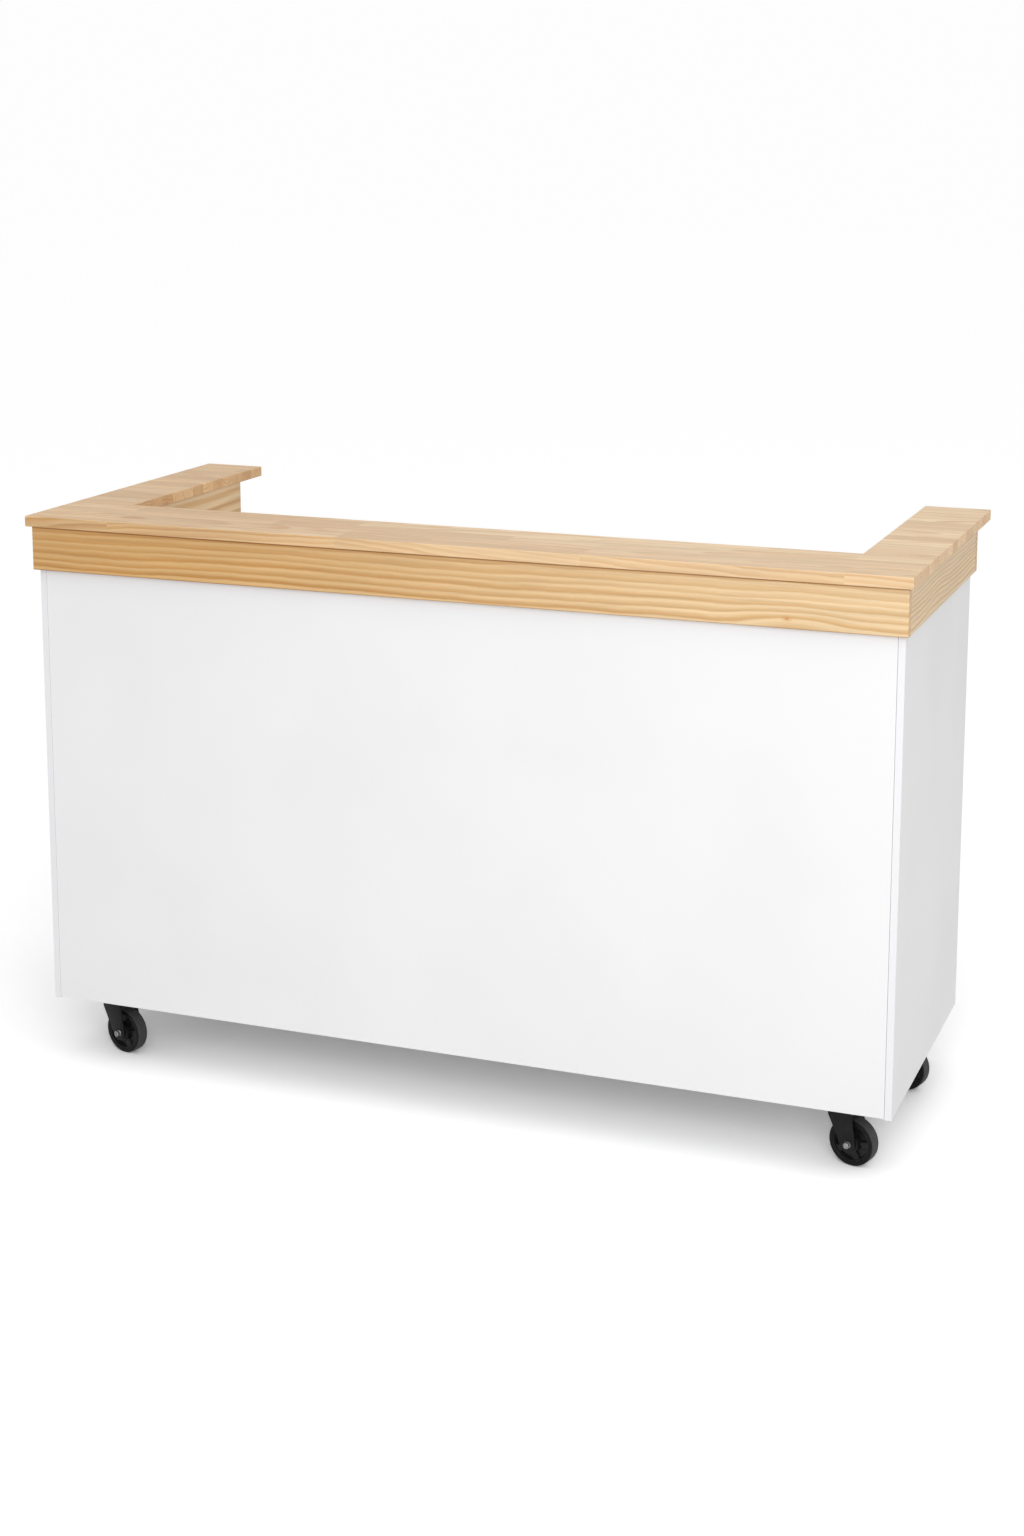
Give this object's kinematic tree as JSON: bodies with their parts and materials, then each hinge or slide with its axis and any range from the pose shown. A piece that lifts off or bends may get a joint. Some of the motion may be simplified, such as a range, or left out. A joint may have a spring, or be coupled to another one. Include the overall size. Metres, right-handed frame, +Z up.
{
  "type": "mobile bar cart",
  "caption": "Rolling bar counter: white panel carcass on swivel casters, open at the rear with shelves, under a raised U-shaped pine counter with an apron.",
  "frame": {"origin": "on the floor, under the middle of the counter board", "axes": "+X to the right along the counter as seen from the guest side, +Y from the guest side to the server's side, +Z up"},
  "size_m": [1.67, 0.722, 1.067],
  "materials": {
    "pine_counter": "clear satin lacquer on edge-glued pine staves",
    "pine_apron": "clear satin lacquer on flat-sawn pine",
    "beech": "planed, unfinished",
    "white_laminate": "white satin melamine on board, with matching edge band",
    "zinc_steel": "bright zinc plated",
    "black_steel": "black powder coat, satin",
    "black_nylon": "moulded black nylon, semi-gloss",
    "tread_rubber": "matt rubber tread"
  },
  "bodies": {
    "cabinet": {"counter_top": "pine_counter", "apron_front": "pine_apron", "apron_left": "pine_apron", "apron_right": "pine_apron", "inner_apron_front": "pine_apron", "inner_apron_left": "pine_apron", "inner_apron_right": "pine_apron", "arm_end_left": "pine_apron", "arm_end_right": "pine_apron", "upper_cleats": "beech", "lower_cleats": "beech", "corner_blocks": "beech", "dowels": "beech", "front_panel": "white_laminate", "side_panel_left": "white_laminate", "side_panel_right": "white_laminate", "worktop": "white_laminate", "base_panel": "white_laminate", "centre_divider": "white_laminate", "shelf_left": "white_laminate", "shelf_right": "white_laminate", "cam_locks": "zinc_steel", "cam_pins": "zinc_steel", "counter_screws": "zinc_steel", "ledge_screws": "zinc_steel", "shelf_pegs": "zinc_steel", "caster_bolts": "zinc_steel", "caster_nuts": "zinc_steel", "front_left_plate": "black_steel", "front_left_kingpin": "zinc_steel", "front_left_swivel_balls": "zinc_steel", "front_right_plate": "black_steel", "front_right_kingpin": "zinc_steel", "front_right_swivel_balls": "zinc_steel", "rear_left_plate": "black_steel", "rear_left_kingpin": "zinc_steel", "rear_left_swivel_balls": "zinc_steel", "rear_right_plate": "black_steel", "rear_right_kingpin": "zinc_steel", "rear_right_swivel_balls": "zinc_steel"},
    "front_left_swivel": {"front_left_fork": "black_steel", "front_left_axle": "zinc_steel"},
    "front_left_wheel": {"front_left_wheel_hub": "black_nylon", "front_left_tyre": "tread_rubber", "front_left_bush": "zinc_steel"},
    "front_right_swivel": {"front_right_fork": "black_steel", "front_right_axle": "zinc_steel"},
    "front_right_wheel": {"front_right_wheel_hub": "black_nylon", "front_right_tyre": "tread_rubber", "front_right_bush": "zinc_steel"},
    "rear_left_swivel": {"rear_left_fork": "black_steel", "rear_left_axle": "zinc_steel"},
    "rear_left_wheel": {"rear_left_wheel_hub": "black_nylon", "rear_left_tyre": "tread_rubber", "rear_left_bush": "zinc_steel"},
    "rear_right_swivel": {"rear_right_fork": "black_steel", "rear_right_axle": "zinc_steel"},
    "rear_right_wheel": {"rear_right_wheel_hub": "black_nylon", "rear_right_tyre": "tread_rubber", "rear_right_bush": "zinc_steel"}
  },
  "joints": [
    {"name": "front_left_swivel_turn", "type": "hinge", "parent": "cabinet", "child": "front_left_swivel", "pos_m": [-0.722, -0.264, 0.1], "axis": [0, 0, 1], "continuous": true},
    {"name": "front_left_wheel_roll", "type": "hinge", "parent": "front_left_swivel", "child": "front_left_wheel", "pos_m": [-0.70268, -0.26918, 0.043], "axis": [0.2588, 0.9659, 0], "continuous": true},
    {"name": "front_right_swivel_turn", "type": "hinge", "parent": "cabinet", "child": "front_right_swivel", "pos_m": [0.722, -0.264, 0.1], "axis": [0, 0, 1], "continuous": true},
    {"name": "front_right_wheel_roll", "type": "hinge", "parent": "front_right_swivel", "child": "front_right_wheel", "pos_m": [0.74132, -0.26918, 0.043], "axis": [0.2588, 0.9659, 0], "continuous": true},
    {"name": "rear_left_swivel_turn", "type": "hinge", "parent": "cabinet", "child": "rear_left_swivel", "pos_m": [-0.74, 0.096, 0.1], "axis": [0, 0, 1], "continuous": true},
    {"name": "rear_left_wheel_roll", "type": "hinge", "parent": "rear_left_swivel", "child": "rear_left_wheel", "pos_m": [-0.72068, 0.09082, 0.043], "axis": [0.2588, 0.9659, 0], "continuous": true},
    {"name": "rear_right_swivel_turn", "type": "hinge", "parent": "cabinet", "child": "rear_right_swivel", "pos_m": [0.74, 0.096, 0.1], "axis": [0, 0, 1], "continuous": true},
    {"name": "rear_right_wheel_roll", "type": "hinge", "parent": "rear_right_swivel", "child": "rear_right_wheel", "pos_m": [0.75932, 0.09082, 0.043], "axis": [0.2588, 0.9659, 0], "continuous": true}
  ]
}
